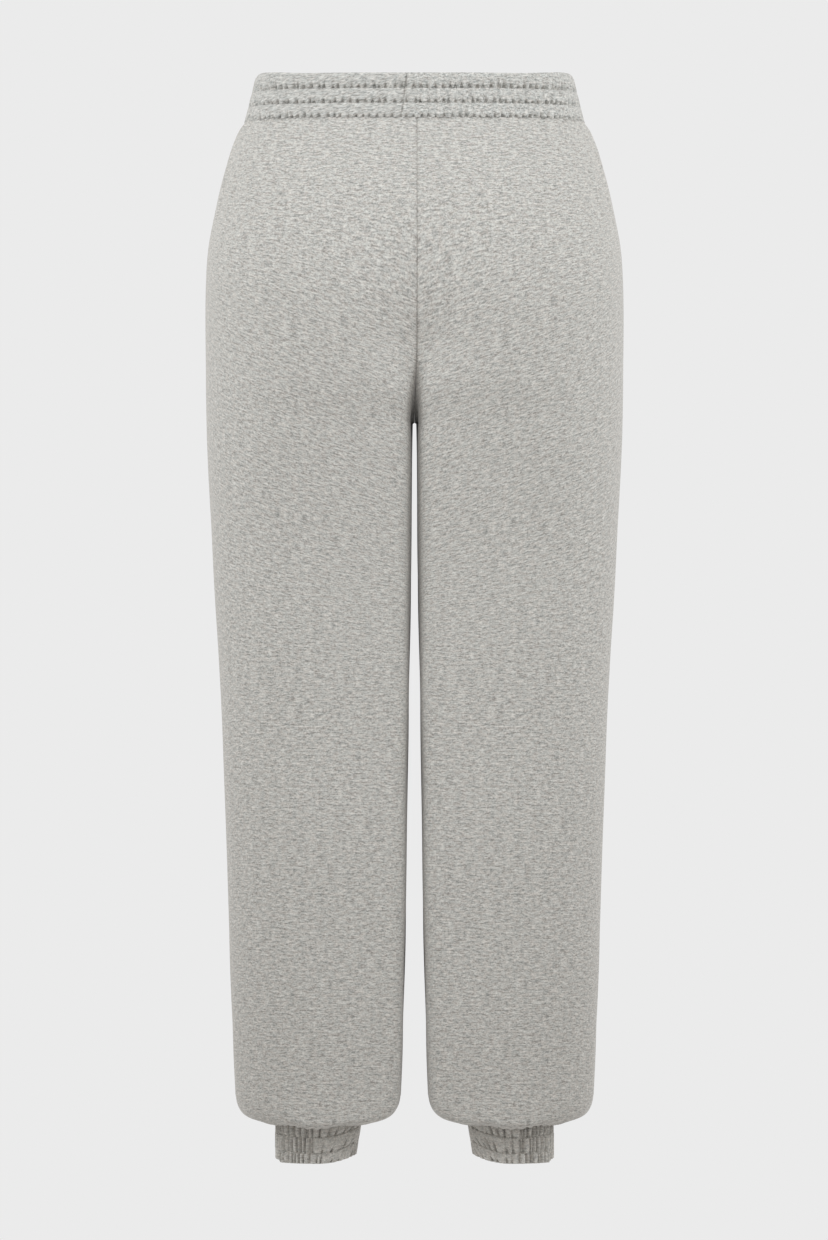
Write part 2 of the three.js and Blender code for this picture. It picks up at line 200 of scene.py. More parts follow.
@dataclass
class Body:
    """The hollow form of the whole garment, worked out from its sections."""

    sections: tuple[Section, ...] = (
        Section(20.5 * MM, 143.8 * MM, 99 * MM, 96 * MM, 26 * MM),
        Section(0, 150.3 * MM, 102 * MM, 99 * MM, 28 * MM),
        Section(-20.5 * MM, 156.5 * MM, 107 * MM, 102 * MM, 32 * MM),
        Section(-30 * MM, 162 * MM, 112 * MM, 105 * MM, 36 * MM),
        Section(-50 * MM, 170 * MM, 120 * MM, 109 * MM, 44 * MM),
        Section(-75 * MM, 177.5 * MM, 129 * MM, 112 * MM, 54 * MM),
        Section(-105 * MM, 184 * MM, 137 * MM, 114 * MM, 63 * MM),
        Section(-140 * MM, 190 * MM, 143 * MM, 114 * MM, 71 * MM),
        Section(-180 * MM, 192.2 * MM, 145 * MM, 113 * MM, 77 * MM),
        Section(-260 * MM, 192.3 * MM, 136 * MM, 108 * MM, 87 * MM),
        Section(-298 * MM, 191.6 * MM, 127.5 * MM, 103.5 * MM, 93 * MM, 1.8 * MM),
        Section(-318 * MM, 191.2 * MM, 124 * MM, 101 * MM, 95 * MM, 2.2 * MM),
        Section(-350 * MM, 189.8 * MM, 118 * MM, 98 * MM, 96 * MM, 2.5 * MM),
        Section(-430 * MM, 185.5 * MM, 106 * MM, 90 * MM, 94 * MM, 3.4 * MM),
        Section(-570 * MM, 177.8 * MM, 94 * MM, 79 * MM, 92 * MM, 5.7 * MM),
        Section(-720 * MM, 172.2 * MM, 87 * MM, 70 * MM, 90 * MM, 7.9 * MM),
        Section(-868 * MM, 167.4 * MM, 81 * MM, 64 * MM, 89 * MM, 11 * MM),
        Section(-917 * MM, 164.7 * MM, 79 * MM, 62 * MM, 89 * MM, 13 * MM),
    )
    crotch: float = -298 * MM
    crotch_arc: float = 72 * MM
    crotch_curve: float = 0.42
    dips: tuple[Dip, ...] = (
        Dip(-20.5 * MM, 0.1 * MM, 0.1 * MM),
        Dip(-80 * MM, 1 * MM, 0.2 * MM),
        Dip(-140 * MM, 4 * MM, 1 * MM),
        Dip(-190 * MM, 9 * MM, 3 * MM),
        Dip(-226 * MM, 16 * MM, 9 * MM),
    )
    shapes: tuple[Shape, ...] = (
        Shape(20.5 * MM, 2.6, 2.1),
        Shape(-120 * MM, 2.45, 2.1),
        Shape(-226 * MM, 2.3, 2.4),
        Shape(-250 * MM, 2.28, 4.5),
        Shape(-276 * MM, 2.26, 9.0),
        Shape(-298 * MM, 2.25, 10.0),
        Shape(-420 * MM, 2.2, 9.0),
        Shape(-917 * MM, 2.15, 9.0),
    )
    steps: int = 160
    seam_gap: float = 0.06 * MM

    def depth(self, z: np.ndarray, face: Face) -> np.ndarray:
        """The y of the fullest line of a face at heights z."""
        return face.value * column(self.sections, "back" if face is Face.BACK else "front", z)

    def middle(self, z: np.ndarray) -> np.ndarray:
        """The y of the side seams and inseams at heights z."""
        return (self.depth(z, Face.BACK) + self.depth(z, Face.FRONT)) / 2

    def centre_seam(self, z: np.ndarray, face: Face) -> np.ndarray:
        """The y of the centre seam, which curves under to the crotch.

        Args:
            z: heights.
            face: the back or the front.

        Returns:
            The seam's y at each height.
        """
        arc_top = self.crotch + self.crotch_arc
        above = np.maximum(z, arc_top)
        dip = column(self.dips, "back" if face is Face.BACK else "front", above)
        on_body = self.depth(above, face) - face.value * dip
        middle = self.middle(z)
        drop = np.clip((arc_top - z) / self.crotch_arc, 0, 1)
        reach = np.abs(on_body - middle) * (1 - drop**2) ** self.crotch_curve
        arc = middle + face.value * np.maximum(reach, self.seam_gap / 2)
        return np.where(z >= arc_top, on_body, arc)

    def half_sections(self, z: np.ndarray, face: Face) -> np.ndarray:
        """The right half of the outline of one face at heights z, from the inner seam to the side seam.

        Args:
            z: heights.
            face: the back or the front.

        Returns:
            Points as heights by steps by 3.
        """
        fullest = self.depth(z, face)[:, None]
        lobe = column(self.sections, "lobe", z)[:, None]
        side = column(self.sections, "side", z)[:, None]
        middle = self.middle(z)[:, None]
        split = (z < self.crotch)[:, None]
        seam = (self.centre_seam(z, face)[:, None] - middle) / (fullest - middle)
        seam = np.where(split, 0, seam)
        gap = np.maximum(column(self.sections, "gap", z)[:, None], self.seam_gap / 2)
        inner = column(self.shapes, "inner", z)[:, None]
        cut = (1 - seam**inner) ** (1 / inner)
        cut_angle = np.arcsin(np.clip(cut ** (inner / 2), 0, 1))
        turn = np.linspace(0, 1, self.steps + 1)[None, :]
        across, along = quarter(cut_angle * (1 - turn), inner)
        inner_x = lobe - (lobe - gap) / cut * across
        inner_y = middle + (fullest - middle) * along
        shut = (1 - smooth(0, 10 * MM, np.abs(inner_y - inner_y[:, :1]))) * (1 - split)
        inner_x = inner_x - (gap - self.seam_gap / 2) * shut
        across, along = quarter(math.pi / 2 * turn[:, 1:], column(self.shapes, "outer", z)[:, None])
        outer_x = lobe + (side - lobe) * across
        outer_y = middle + (fullest - middle) * along
        x = np.concatenate([inner_x, outer_x], axis=1)
        y = np.concatenate([inner_y, outer_y], axis=1)
        return np.stack([x, y, np.broadcast_to(z[:, None], x.shape)], axis=2)

    def ring(self, z: float, shares: np.ndarray) -> np.ndarray:
        """Points once round the waist at height z, from the middle of the back by the wearer's right.

        Args:
            z: the height.
            shares: shares of the way round.

        Returns:
            One point for each share.
        """
        back = self.half_sections(np.array([z]), Face.BACK)[0]
        front = self.half_sections(np.array([z]), Face.FRONT)[0][::-1]
        right = np.concatenate([back, front[1:]])
        left = (right * (-1, 1, 1))[::-1]
        loop = np.concatenate([right, left[1:], right[:1]])
        return resample(loop, shares)


@dataclass(frozen=True)
class Channel:
    """One point of an elastic channel's profile, from its upper stitch line (0) to its lower one (1)."""

    at: float
    out: float
    pucker: float


@dataclass
class Cloth:
    """A piece of cloth as a closed wall: a fine outer grid over a coarser plain inner one."""

    name: str
    node: str
    slot: str
    outer: np.ndarray
    inner: np.ndarray
    uv_outer: np.ndarray
    uv_inner: np.ndarray

    @staticmethod
    def numbered(rows: int, columns: int, start: int) -> np.ndarray:
        """Vertex numbers of a grid."""
        return np.arange(rows * columns).reshape(rows, columns) + start

    @staticmethod
    def quads(numbers: np.ndarray) -> list[tuple[int, ...]]:
        """The four-sided faces of a grid.

        Args:
            numbers: the grid's vertex numbers.

        Returns:
            The faces, each as its four vertex numbers.
        """
        a, b = numbers[:-1, :-1].ravel(), numbers[:-1, 1:].ravel()
        c, d = numbers[1:, 1:].ravel(), numbers[1:, :-1].ravel()
        return list(zip(a.tolist(), d.tolist(), c.tolist(), b.tolist()))

    @staticmethod
    def rim(a: np.ndarray, b: np.ndarray, flipped: bool) -> list[tuple[int, ...]]:
        """Triangles between two edges with different numbers of vertices.

        Args:
            a: vertex numbers along one edge.
            b: vertex numbers along the other.
            flipped: whether the triangles turn the other way.

        Returns:
            The triangles.
        """
        made, i, j = [], 0, 0
        while i < len(a) - 1 or j < len(b) - 1:
            if (i + 1) * (len(b) - 1) <= (j + 1) * (len(a) - 1):
                face = (int(a[i]), int(a[i + 1]), int(b[j]))
                i += 1
            else:
                face = (int(a[i]), int(b[j + 1]), int(b[j]))
                j += 1
            made.append(face[::-1] if flipped else face)
        return made

    def build(self, mirror: bool = False) -> bpy.types.Object:
        """Makes the wall as one mesh object.

        Args:
            mirror: whether the piece is the wearer's left one, made from the right one.

        Returns:
            The object.
        """
        out = self.numbered(*self.outer.shape[:2], 0)
        back = self.numbered(*self.inner.shape[:2], out.size)
        faces = self.quads(out)
        faces += [face[::-1] for face in self.quads(back)]
        faces += self.rim(out[0], back[0], False)
        faces += self.rim(out[-1], back[-1], True)
        faces += self.rim(out[:, 0], back[:, 0], True)
        faces += self.rim(out[:, -1], back[:, -1], False)
        points = np.concatenate([self.outer.reshape(-1, 3), self.inner.reshape(-1, 3)])
        uv = np.concatenate([self.uv_outer.reshape(-1, 2), self.uv_inner.reshape(-1, 2)])
        if mirror:
            points = points * (-1, 1, 1)
            uv = uv * (-1, 1)
        if self.turns_inward() != mirror:
            faces = [face[::-1] for face in faces]
        mesh = bpy.data.meshes.new(self.name)
        mesh.from_pydata(points.tolist(), [], faces)
        layer = mesh.uv_layers.new(name=UV_NAME)
        corners = np.empty(len(mesh.loops), dtype=np.int32)
        mesh.loops.foreach_get("vertex_index", corners)
        layer.data.foreach_set("uv", uv[corners].ravel())
        piece = bpy.data.objects.new(self.name, mesh)
        bpy.context.collection.objects.link(piece)
        shade(piece)
        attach(piece, "root")
        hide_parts(self.node)
        return piece

    def turns_inward(self) -> bool:
        """Whether the first way round of the outer grid's faces points into the wall.

        Returns:
            True where the faces have to be turned, before any mirroring.
        """
        grid = self.outer
        r, c = grid.shape[0] // 2, grid.shape[1] // 2
        normal = np.cross(grid[r + 1, c] - grid[r, c], grid[r, c + 1] - grid[r, c])
        centre = self.inner.reshape(-1, 3).mean(axis=0)
        return float(np.dot(normal, grid[r, c] - centre)) < 0


def shade(piece: bpy.types.Object, angle: float = math.radians(50)) -> None:
    """Shades a piece smooth, but for its sharp edges.

    Args:
        piece: the object.
        angle: the least angle of a sharp edge.
    """
    bpy.ops.object.select_all(action="DESELECT")
    piece.select_set(True)
    bpy.context.view_layer.objects.active = piece
    bpy.ops.object.shade_smooth_by_angle(angle=angle)
    piece.select_set(False)


@dataclass(frozen=True)
class Hem:
    """One row of the rolled hem: its share of the way from the leg to the cuff, and how far down it is."""

    share: float
    drop: float


@dataclass(frozen=True)
class SoftFold:
    """A soft trough (depth over 0) or ridge (under 0) that falls from the waist seam.

    at is its place from the inner seam (0) to the side seam (1), top and length are down from the waist seam,
    and lean is how far it moves towards the side seam on the way.
    """

    at: float
    top: float
    length: float
    depth: float
    width: float
    lean: float = 0.0


@dataclass(frozen=True)
class DragLine:
    """A faint pull that runs up and out from the crotch: its rise, reach and depth."""

    rise: float
    start: float
    length: float
    depth: float
    width: float


@dataclass(frozen=True)
class Parting:
    """How far each thigh stands back from the middle, in the cleft behind the crotch."""

    z: float
    width: float


@dataclass
class Leg:
    """A leg's two panels: from the waist seam to the hem, which rolls under and up to the cuff."""

    body: Body
    waist_seam: float = -20.5 * MM
    hem_top: float = -917 * MM
    cuff_x: float = 89.6 * MM
    cuff_y: float = -8 * MM
    cuff_half_width: float = 38.6 * MM
    cuff_half_depth: float = 37.6 * MM
    wall: float = 1.6 * MM
    hems: tuple[Hem, ...] = (
        Hem(0, 0),
        Hem(0.05, 10 * MM),
        Hem(0.16, 18 * MM),
        Hem(0.34, 23.2 * MM),
        Hem(0.62, 26.7 * MM),
        Hem(0.88, 28.5 * MM),
        Hem(1, 20 * MM),
    )
    hem_steps: int = 7
    inner_columns: int = 66
    outer_columns: int = 84
    folds: tuple[SoftFold, ...] = (
        SoftFold(0.08, 2 * MM, 34 * MM, 0.5 * MM, 3 * MM),
        SoftFold(0.19, 0, 40 * MM, 0.6 * MM, 3.4 * MM, 2 * MM),
        SoftFold(0.30, 4 * MM, 70 * MM, 1.3 * MM, 5 * MM, 3 * MM),
        SoftFold(0.37, 2 * MM, 30 * MM, -0.5 * MM, 4 * MM),
        SoftFold(0.43, 8 * MM, 58 * MM, 1.8 * MM, 2.6 * MM, 1 * MM),
        SoftFold(0.54, 0, 44 * MM, 1.2 * MM, 4 * MM, 4 * MM),
        SoftFold(0.62, 0, 30 * MM, -0.7 * MM, 5 * MM),
        SoftFold(0.70, 40 * MM, 66 * MM, 2.0 * MM, 3.0 * MM, 5 * MM),
        SoftFold(0.77, 0, 38 * MM, 1.2 * MM, 4 * MM, 2 * MM),
        SoftFold(0.83, 22 * MM, 110 * MM, 2.2 * MM, 5 * MM, 5 * MM),
        SoftFold(0.88, 2 * MM, 60 * MM, -1.3 * MM, 6 * MM, 3 * MM),
        SoftFold(0.94, 6 * MM, 120 * MM, 1.6 * MM, 9 * MM, 2 * MM),
    )
    drags: tuple[DragLine, ...] = (
        DragLine(0.12, 14 * MM, 70 * MM, 0.5 * MM, 4 * MM),
        DragLine(0.34, 18 * MM, 84 * MM, 0.6 * MM, 5 * MM),
        DragLine(0.58, 16 * MM, 90 * MM, 0.5 * MM, 5 * MM),
        DragLine(0.86, 22 * MM, 74 * MM, 0.4 * MM, 5 * MM),
        DragLine(-0.14, 20 * MM, 60 * MM, 0.4 * MM, 5 * MM),
        DragLine(-0.42, 24 * MM, 66 * MM, 0.3 * MM, 6 * MM),
    )
    cleft: tuple[Parting, ...] = (
        Parting(-260 * MM, 0),
        Parting(-269 * MM, 0.2 * MM),
        Parting(-276 * MM, 1.0 * MM),
        Parting(-286 * MM, 1.5 * MM),
        Parting(-298 * MM, 1.6 * MM),
        Parting(-306 * MM, 0.9 * MM),
        Parting(-318 * MM, 0.3 * MM),
        Parting(-335 * MM, 0),
    )
    hem_fullness: float = 4.5
    hem_sag: float = 1.6 * MM
    hem_lift: float = 1.6 * MM
    seam_depth: float = 1.2 * MM
    seam_width: float = 1.1 * MM
    seam_drift: float = 2.3 * MM
    pucker_depth: float = 0.7 * MM
    pucker_length: float = 11 * MM
    puckers: int = 30
    hem_gathers: int = 21
    hem_gather_depth: float = 0.9 * MM
    sway: float = 0.5 * MM
    grain_tilt: float = 0.30

    def heights(self) -> np.ndarray:
        """Spaces the rows above the hem: closer at the waist seam and at the crotch.

        Returns:
            The rows' heights, from the waist seam down.
        """
        arc_top = self.body.crotch + self.body.crotch_arc
        waist = self.waist_seam - 0.15 * MM - 60 * MM * np.linspace(0, 1, 46) ** 1.3
        seat = np.linspace(waist[-1], arc_top, 66)[1:]
        under = self.body.crotch + self.body.crotch_arc * (1 - np.sin(np.linspace(0, math.pi / 2, 44)))[1:]
        split = self.body.crotch - 24 * MM * np.linspace(0, 1, 15)[1:] ** 1.4
        leg = np.linspace(split[-1], self.hem_top, 250)[1:]
        return np.concatenate([waist, seat, under, split, leg])

    def columns(self, line: np.ndarray, trims: tuple[float, float]) -> np.ndarray:
        """A row's points, spread evenly on each side of the panel's grain line.

        Args:
            line: the section's outline.
            trims: what is held back at the inner seam and at the side seam.

        Returns:
            One point a column.
        """
        middle = (line[0, 0] + line[-1, 0]) / 2
        split = int(np.searchsorted(line[:, 0], middle))
        share = (middle - line[split - 1, 0]) / (line[split, 0] - line[split - 1, 0])
        grain = line[split - 1] + share * (line[split] - line[split - 1])
        inner_shares = np.linspace(0, 1, self.inner_columns + 1)
        outer_shares = np.linspace(0, 1, self.outer_columns + 1)
        inner = resample(np.vstack([line[:split], grain]), inner_shares, (trims[0], 0))
        outer = resample(np.vstack([grain, line[split:]]), outer_shares, (0, trims[1]))
        return np.concatenate([inner, outer[1:]])

    def cuff_line(self, face: Face) -> np.ndarray:
        """The outline that the hem comes down to, outside the cuff.

        Args:
            face: the back or the front.

        Returns:
            The outline's points, from the inner side to the outer side.
        """
        angle = np.linspace(-math.pi / 2, math.pi / 2, 241)
        x, y = quarter(np.abs(angle), 2.1)
        return np.stack(
            [
                self.cuff_x + np.sign(angle) * x * self.cuff_half_width,
                self.cuff_y + face.value * y * self.cuff_half_depth,
                np.zeros_like(angle),
            ],
            axis=1,
        )

    def hem_curve(self) -> np.ndarray:
        """The hem's fine rows, on a smooth curve through its table.

        Returns:
            Each row's share of the way in to the cuff, and its drop.
        """
        table = np.array([(row.share, row.drop) for row in self.hems])
        known = np.arange(len(table), dtype=float)
        t = np.linspace(0, known[-1], (len(table) - 1) * self.hem_steps + 1)
        slopes = np.gradient(table, axis=0)
        i = np.clip(t.astype(int), 0, len(table) - 2)
        f = (t - i)[:, None]
        curve = (
            table[i] * (1 + 2 * f) * (1 - f) ** 2
            + slopes[i] * f * (1 - f) ** 2
            + table[i + 1] * f * f * (3 - 2 * f)
            + slopes[i + 1] * f * f * (f - 1)
        )
        return np.clip(curve, (0, 0), (1, 1))

    def smooth_grid(self, face: Face) -> np.ndarray:
        """The panel's surface before its folds.

        Args:
            face: the back or the front.

        Returns:
            Points as rows by columns by 3.
        """
        gap = self.body.seam_gap / 2
        heights = self.heights()
        lines = self.body.half_sections(heights, face)
        rows = [
            self.columns(line, (gap if z < self.body.crotch else 0, gap))
            for z, line in zip(heights, lines)
        ]
        leg = rows[-1]
        cuff = self.columns(self.cuff_line(face), (gap, gap))
        outward = np.abs(leg[:, 0] - self.cuff_x) / self.cuff_half_width
        rise = (self.hem_lift + self.hem_sag) * smooth(0.1, 1.15, outward) - self.hem_sag
        deepest = max(row.drop for row in self.hems)
        for share, drop in self.hem_curve()[1:]:
            row = leg + (cuff - leg) * share
            row[:, 1] = leg[:, 1] + (cuff[:, 1] - leg[:, 1]) * share**self.hem_fullness
            row[:, 2] = self.hem_top - drop + rise * drop / deepest
            rows.append(row)
        return np.array(rows)

    def parting(self, grid: np.ndarray) -> np.ndarray:
        """How far the cleft's walls move out from the middle. The seam itself stays shut.

        Args:
            grid: the smooth surface of the back.

        Returns:
            The move along x at each point.
        """
        steps = np.linalg.norm(np.diff(grid, axis=1), axis=2)
        along = np.concatenate([np.zeros((len(grid), 1)), np.cumsum(steps, axis=1)], axis=1)
        width = column(self.cleft, "width", grid[:, 0, 2])[:, None]
        return width * smooth(0, 14 * MM, along) * (1 - smooth(4 * MM, 30 * MM, grid[:, :, 0]))

    def relief(self, grid: np.ndarray, face: Face) -> tuple[np.ndarray, np.ndarray]:
        """How far each point stands out from the smooth surface.

        Args:
            grid: the smooth surface.
            face: the back or the front.

        Returns:
            The broad relief, which the inside follows too, and the fine relief of the outside alone.
        """
        z = grid[:, :, 2]
        steps = np.linalg.norm(np.diff(grid, axis=1), axis=2)
        along = np.concatenate([np.zeros((len(grid), 1)), np.cumsum(steps, axis=1)], axis=1)
        width = along[:, -1:]
        below = self.waist_seam - z
        broad = np.zeros_like(z)
        for fold in self.folds:
            place = fold.at if face is Face.BACK else (fold.at + 0.045) % 1
            down = (below - fold.top) / fold.length
            shape = smooth(-0.12, 0.22, down) * (1 - smooth(0.35, 1.0, down))
            offset = along - place * width - fold.lean * np.clip(down, 0, 1.2)
            broad -= fold.depth * shape * bell(offset, fold.width)
        if face is Face.BACK:
            broad += self.drag_relief(grid)
        phase = 1.7 if face is Face.BACK else 0.4
        leg_part = smooth(0.25, 0.5, below)
        sway = np.sin(z * 31 + along * 14 + phase) * np.sin(along * 33 - z * 9 + 2 * phase)
        broad += self.sway * (0.5 + 0.5 * leg_part) * sway * smooth(0.02, 0.10, below)
        fine = np.zeros_like(z)
        edge = np.minimum(along, width - along)
        fine -= self.seam_depth * bell(edge, self.seam_width)
        fine += 0.25 * self.seam_depth * bell(edge - 2.2 * self.seam_width, self.seam_width)
        rng = np.random.default_rng(11 if face is Face.BACK else 12)
        places = (np.arange(self.puckers) + rng.uniform(-0.3, 0.3, self.puckers)) / self.puckers
        for place, depth, reach in zip(places, rng.uniform(0.4, 1.2, 99), rng.uniform(0.5, 1.9, 99)):
            length = self.pucker_length * reach
            fine -= self.pucker_depth * depth * bell(along - place * width, 2.1 * MM) * bell(below, length)
        hem = self.hem_curve()
        share = np.zeros(len(grid))
        share[-(len(hem) - 1):] = hem[1:, 0]
        wave = np.cos(2 * math.pi * self.hem_gathers * (along / width + 0.006 * np.sin(along * 160)))
        fine += self.hem_gather_depth * (share**2)[:, None] * (1 - smooth(0.93, 1.0, share))[:, None] * wave
        return broad, fine

    def drag_relief(self, grid: np.ndarray) -> np.ndarray:
        """Faint pulls that fan up and out from the crotch across the seat and the thigh.

        Args:
            grid: the smooth surface of the back.

        Returns:
            The relief at each point.
        """
        x, z = grid[:, :, 0], grid[:, :, 2] - self.body.crotch
        total = np.zeros_like(x)
        for drag in self.drags:
            angle = math.atan(drag.rise)
            along = x * math.cos(angle) + z * math.sin(angle)
            off = z * math.cos(angle) - x * math.sin(angle)
            reach = smooth(0, drag.start, along) * (1 - smooth(drag.start, drag.start + drag.length, along))
            total -= drag.depth * reach * bell(off, drag.width)
        return total

    def drift(self, grid: np.ndarray, face: Face) -> np.ndarray:
        """Moves the centre back seam a little to the wearer's right, as it lies in wear.

        Args:
            grid: points of a right panel.
            face: the back or the front.

        Returns:
            How far each point moves along x on the right panel. The left one moves the same way.
        """
        if face is Face.FRONT:
            return np.zeros(grid.shape[:2])
        arc_top = self.body.crotch + self.body.crotch_arc
        above = smooth(self.body.crotch, arc_top, grid[:, :, 2])
        return self.seam_drift * above * bell(grid[:, :, 0], 60 * MM)

    def grain(self, grid: np.ndarray) -> np.ndarray:
        """Lengths over the cloth, across and along its ribs, so that the knit follows the panel.

        Args:
            grid: the smooth surface.

        Returns:
            (u, v) in metres at each point. In the seat the courses dip towards the centre seam.
        """
        steps = np.linalg.norm(np.diff(grid, axis=1), axis=2)
        along = np.concatenate([np.zeros((len(grid), 1)), np.cumsum(steps, axis=1)], axis=1)
        u = along - along[:, [self.inner_columns]]
        fall = np.linalg.norm(np.diff(grid[:, self.inner_columns], axis=0), axis=1)
        v = -np.r_[0, np.cumsum(fall)]
        z = grid[:, self.inner_columns, 2]
        tilt = self.grain_tilt * smooth(-0.07, -0.22, z) * (1 - smooth(0.36, 0.56, -z))
        inward = np.clip(-u, -0.4, 0.16) + 0.04
        return np.stack([u, v[:, None] + tilt[:, None] * inward], axis=2)

    def panel(self, face: Face, side: Side) -> bpy.types.Object:
        """Makes one panel.

        Args:
            face: the back or the front.
            side: the wearer's side.

        Returns:
            The panel's object.
        """
        base = self.smooth_grid(face)
        normal = normals_of(base)
        outwards = face.value if normal[10, 40, 1] > 0 else -face.value
        normal *= outwards
        broad, fine = self.relief(base, face)
        if side is Side.LEFT:
            broad, fine = self.uneven(broad, base), self.uneven(fine, base)
        shift = normal * (broad + fine)[:, :, None]
        joined = (base[:, 0, 2] >= self.body.crotch)[:, None]
        shift[:, :, 0] *= np.where(joined, smooth(0, 9 * MM, base[:, :, 0]), 1)
        outer = base + shift
        move = self.drift(base, face) * side.value
        if face is Face.BACK:
            move = move + self.parting(base)
        outer[:, :, 0] += move
        rows = np.r_[np.arange(0, len(base) - 1, 5), len(base) - 1]
        cols = np.r_[np.arange(0, base.shape[1] - 1, 5), base.shape[1] - 1]
        pick = np.ix_(rows, cols)
        inner = base[pick] + normal[pick] * (broad[pick] - self.wall)[:, :, None]
        above = base[rows, 0, 2] >= self.body.crotch
        inner[above, 0, 0] = np.maximum(inner[above, 0, 0], self.body.seam_gap / 2)
        inner[~above, 0, 1] = base[rows[~above], 0, 1]
        inner[:, -1, 1] = base[rows, -1, 1]
        inner[:, :, 0] += move[pick]
        uv = self.grain(base)
        words = f"{face.name.lower()}_panel_{side.name.lower()}"
        cloth = Cloth(f"{words}_cloth", words, "leg_cloth", outer, inner, uv, uv[pick])
        piece = cloth.build(mirror=side is Side.LEFT)
        return piece

    @staticmethod
    def uneven(relief: np.ndarray, base: np.ndarray) -> np.ndarray:
        """Makes the left leg's folds a little unlike the right leg's.

        Args:
            relief: the right panel's relief.
            base: the smooth surface.

        Returns:
            The relief with its strength changed from place to place.
        """
        return relief * (0.92 + 0.22 * np.sin(base[:, :, 0] * 47 + 1.1) * np.cos(base[:, :, 2] * 23))

    @staticmethod
    def area_of(grid: np.ndarray) -> float:
        """The area of a grid's surface."""
        a, b = np.diff(grid, axis=0)[:, :-1], np.diff(grid, axis=1)[:-1]
        return np.linalg.norm(np.cross(a, b), axis=2).sum()

    def build(self) -> list[bpy.types.Object]:
        """Makes the four panels."""
        return [self.panel(face, side) for face in Face for side in Side]


@dataclass
class Band:
    """A gathered elastic band of stitched channels."""

    gathers: int
    points: int
    seed: int
    pucker_depth: float
    wall: float
    crease_width: float
    rows_per_channel: int = 14
    least_rise: float = 0.12
    depths: tuple[float, float] = (0.8, 1.3)

    def places(self, rng: np.random.Generator) -> np.ndarray:
        """Where a channel's creases are, as shares of the way round.

        Args:
            rng: the channel's random numbers.

        Returns:
            One share for each crease.
        """
        return (np.arange(self.gathers) + rng.uniform(-0.24, 0.24, self.gathers)) / self.gathers

    def leans(self, places: np.ndarray) -> np.ndarray:
        """How far each crease moves round the band on its way down a channel, as a share."""
        return np.zeros_like(places)

    def least_rises(self, places: np.ndarray) -> np.ndarray:
        """How deep each crease still is at its shallow end, as a share of its depth."""
        return np.full_like(places, self.least_rise)

    def creases(self, shares: np.ndarray, down: np.ndarray, channel: int) -> np.ndarray:
        """How deep a channel's creases are.

        Args:
            shares: shares of the way round.
            down: shares of the way down the channel.
            channel: the channel's number, from the top.

        Returns:
            The depth from 0 to about 1.3, as down by shares.
        """
        rng = np.random.default_rng(self.seed + channel)
        places = self.places(rng)
        depths = rng.uniform(*self.depths, self.gathers)
        reaches = rng.uniform(0.15, 0.9, self.gathers)
        widths = rng.uniform(0.65, 1.35, self.gathers) * self.crease_width
        total = np.zeros((len(down), len(shares)))
        lines = zip(places, depths, reaches, widths, self.leans(places), self.least_rises(places))
        for place, depth, reach, width, lean, least in lines:
            offset = (shares[None, :] - place - lean * (down[:, None] - 0.5) + 0.5) % 1.0 - 0.5
            rise = least + (1 - least) * smooth(0.95 - reach, 1.15 - 0.5 * reach, down)
            total = np.maximum(total, depth * rise[:, None] * valley(offset, width))
        return total


